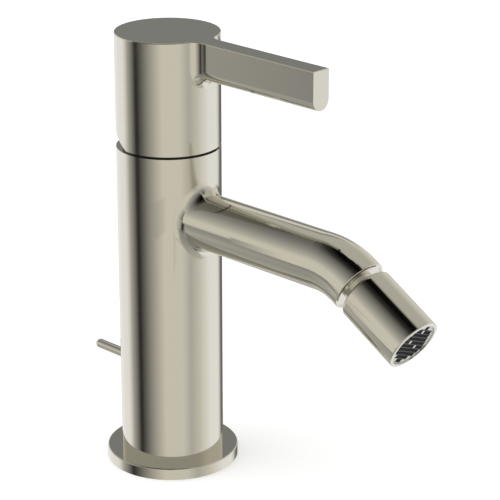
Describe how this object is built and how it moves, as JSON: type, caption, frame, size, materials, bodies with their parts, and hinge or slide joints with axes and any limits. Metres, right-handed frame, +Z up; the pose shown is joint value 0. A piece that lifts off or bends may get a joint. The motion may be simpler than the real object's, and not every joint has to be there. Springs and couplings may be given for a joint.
{
  "type": "bidet mixer",
  "caption": "Slim round single-lever bidet mixer with a bent spout, a swivelling aerated outlet head, a flat lever blade and a pop-up waste pull rod at the back.",
  "frame": {"origin": "centre of the base plate's underside, on the deck", "axes": "+Z up along the body, -Y along the spout and the lever, +Y along the pull rod, +X to the right of a user who faces the spout"},
  "size_m": [0.0516, 0.174, 0.1729],
  "materials": {
    "polished_nickel": "polished",
    "raw_brass": "turned, uncoated",
    "steel": "bright stainless steel",
    "black_plastic": "moulded acetal, satin",
    "white_plastic": "moulded acetal, satin",
    "grey_plastic": "moulded, glass-filled",
    "ceramic": "lapped alumina",
    "seal_rubber": "moulded EPDM"
  },
  "bodies": {
    "fixed": {"body": "polished_nickel", "base_plate": "polished_nickel", "base_gasket": "seal_rubber", "body_o_ring": "seal_rubber", "slot_guide": "black_plastic", "rod_bush": "white_plastic", "cartridge_base": "grey_plastic", "port_seals": "seal_rubber", "disc_seals": "seal_rubber", "fixed_disc": "ceramic", "cartridge_housing": "grey_plastic", "stop_ring": "white_plastic", "cartridge_nut": "raw_brass", "dome_ring": "black_plastic", "ball_nipple": "polished_nickel", "nipple_washer": "seal_rubber"},
    "rotor": {"cartridge_rotor": "black_plastic", "spindle_pin": "steel"},
    "disc_slide": {"moving_disc": "ceramic", "disc_carrier": "grey_plastic"},
    "lever": {"handle": "polished_nickel", "handle_insert": "grey_plastic", "spindle": "raw_brass", "grub_screw": "steel", "screw_plug": "polished_nickel"},
    "pop_up": {"lift_slider": "steel", "pull_rod": "polished_nickel"},
    "collar": {"neck_collar": "polished_nickel"},
    "head_seat": {"ball_seat": "white_plastic", "ball_seal": "seal_rubber"},
    "head": {"outlet_head": "polished_nickel", "ball_retainer": "polished_nickel", "aerator_seal": "seal_rubber", "aerator_diffuser": "white_plastic", "aerator_holder": "white_plastic", "aerator_lattice": "black_plastic"}
  },
  "joints": [
    {"name": "lever_swivel", "type": "hinge", "parent": "fixed", "child": "rotor", "pos_m": [0, 0, 0.131], "axis": [0, 0, 1], "range_deg": [-45, 45]},
    {"name": "lever_lift", "type": "hinge", "parent": "rotor", "child": "lever", "pos_m": [0, 0, 0.131], "axis": [-1, 0, 0], "range_deg": [0, 25]},
    {"name": "disc_travel", "type": "slide", "parent": "rotor", "child": "disc_slide", "axis": [0, -1, 0], "range_m": [0, 0.005]},
    {"name": "pop_up_pull", "type": "slide", "parent": "fixed", "child": "pop_up", "axis": [0, 0, 1], "range_m": [0, 0.02]},
    {"name": "head_swing", "type": "hinge", "parent": "fixed", "child": "collar", "pos_m": [0, -0.0975, 0.0981], "axis": [0, -0.866, -0.5], "continuous": true},
    {"name": "head_tilt", "type": "hinge", "parent": "collar", "child": "head_seat", "pos_m": [0, -0.10698, 0.09265], "axis": [1, 0, 0], "range_deg": [-15, 15]},
    {"name": "head_spin", "type": "hinge", "parent": "head_seat", "child": "head", "pos_m": [0, -0.10698, 0.09265], "axis": [0, -0.866, -0.5], "continuous": true}
  ],
  "couplings": [
    {"joint": "disc_travel", "follows": "lever_lift", "m_per_rad": 0.01125}
  ]
}
